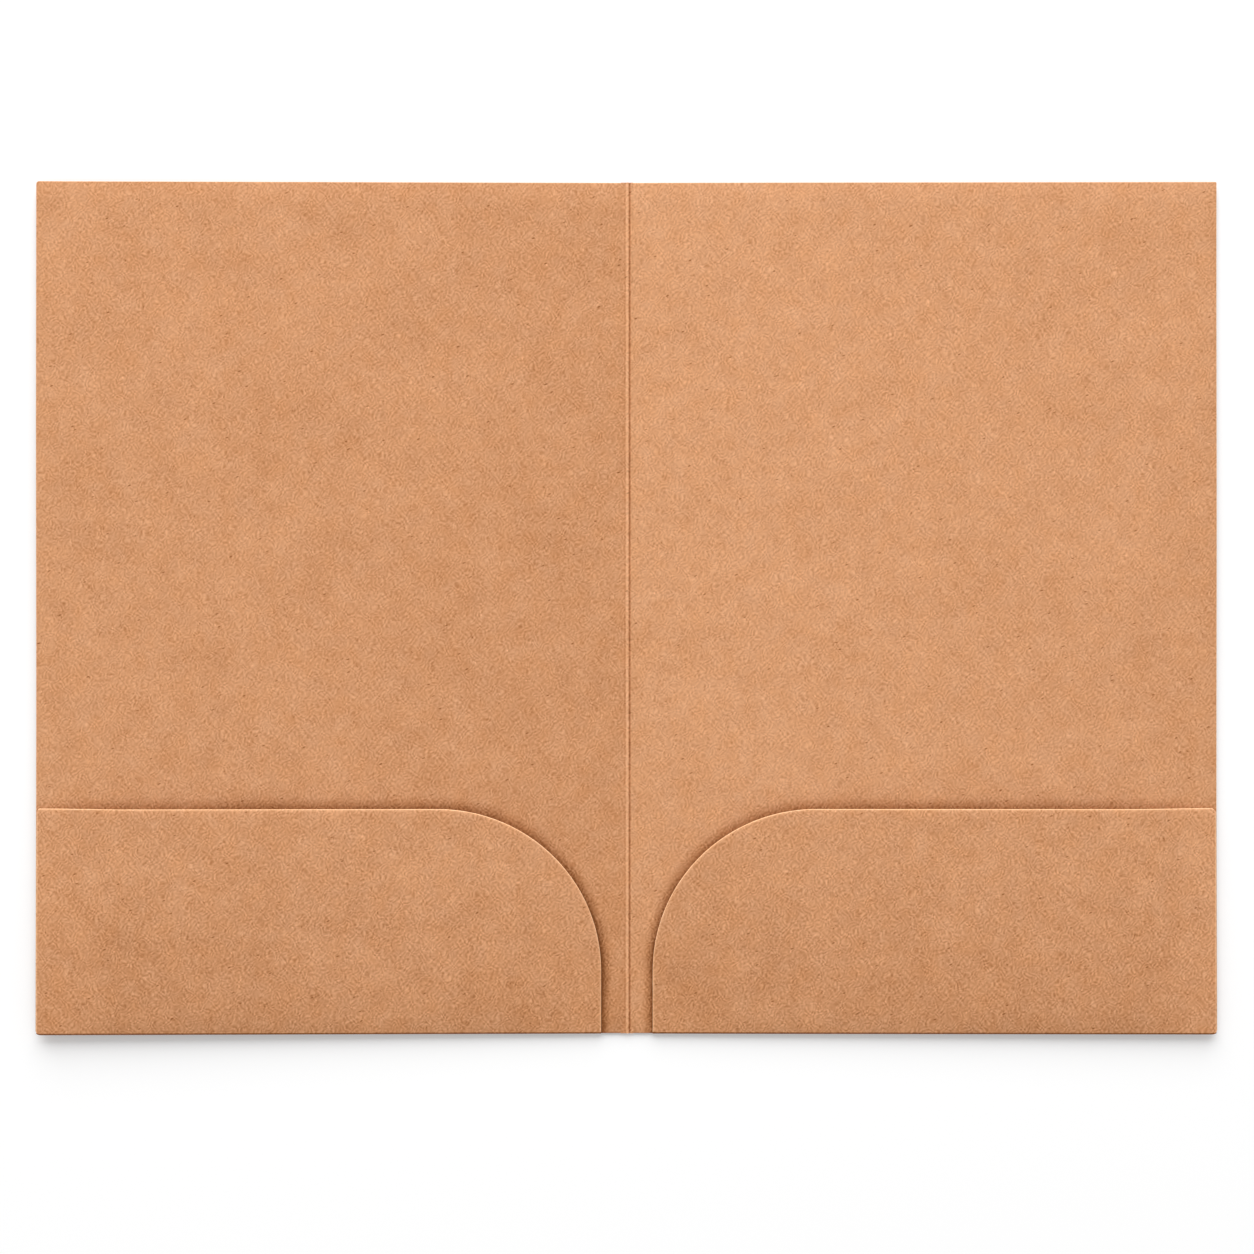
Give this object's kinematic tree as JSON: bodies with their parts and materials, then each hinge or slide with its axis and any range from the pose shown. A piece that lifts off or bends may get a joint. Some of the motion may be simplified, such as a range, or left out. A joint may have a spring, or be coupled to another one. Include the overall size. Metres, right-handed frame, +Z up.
{
  "type": "two pocket folder",
  "caption": "Kraft card presentation folder that folds shut at a scored spine, with an open-topped pocket, cut away in a round inner corner, along the foot of each cover.",
  "frame": {"origin": "on the table under the middle of the spine crease", "axes": "+X across the open folder towards the back cover's fore edge, +Y along the spine towards the head edge, +Z up from the table; inside faces up"},
  "size_m": [0.43, 0.31, 0.0057],
  "materials": {
    "kraft_card": "uncoated brown kraft card with short fibres and specks",
    "dried_glue": "dried translucent paper glue"
  },
  "bodies": {
    "back_half": {"back_cover": "kraft_card", "back_foot_fold": "kraft_card", "back_side_fold": "kraft_card", "back_glue_tab": "kraft_card", "back_glue_line": "dried_glue"},
    "spine": {"spine_crease": "kraft_card"},
    "front_half": {"front_cover": "kraft_card", "front_foot_fold": "kraft_card", "front_side_fold": "kraft_card", "front_glue_tab": "kraft_card", "front_glue_line": "dried_glue"},
    "back_pocket_flap": {"back_pocket": "kraft_card"},
    "front_pocket_flap": {"front_pocket": "kraft_card"}
  },
  "joints": [
    {"name": "cover_fold", "type": "hinge", "parent": "back_half", "child": "front_half", "pos_m": [0, 0, 0.00172], "axis": [0, 1, 0], "range_deg": [-0.8, 173.2]},
    {"name": "spine_bend", "type": "hinge", "parent": "back_half", "child": "spine", "pos_m": [0.0014, 0, 0.0004], "axis": [0, 1, 0], "range_deg": [-0.4, 86.6]},
    {"name": "back_pocket_flex", "type": "hinge", "parent": "back_half", "child": "back_pocket_flap", "pos_m": [0.1082, -0.1543, 0.00145], "axis": [1, 0, 0.007], "range_deg": [-2, 0.03]},
    {"name": "front_pocket_flex", "type": "hinge", "parent": "front_half", "child": "front_pocket_flap", "pos_m": [-0.1082, -0.1543, 0.00145], "axis": [1, 0, -0.007], "range_deg": [-2, 0.03]}
  ],
  "couplings": [
    {"joint": "spine_bend", "follows": "cover_fold", "ratio": 0.5},
    {"joint": "back_pocket_flex", "follows": "cover_fold", "ratio": -0.0115},
    {"joint": "front_pocket_flex", "follows": "cover_fold", "ratio": -0.0115}
  ]
}
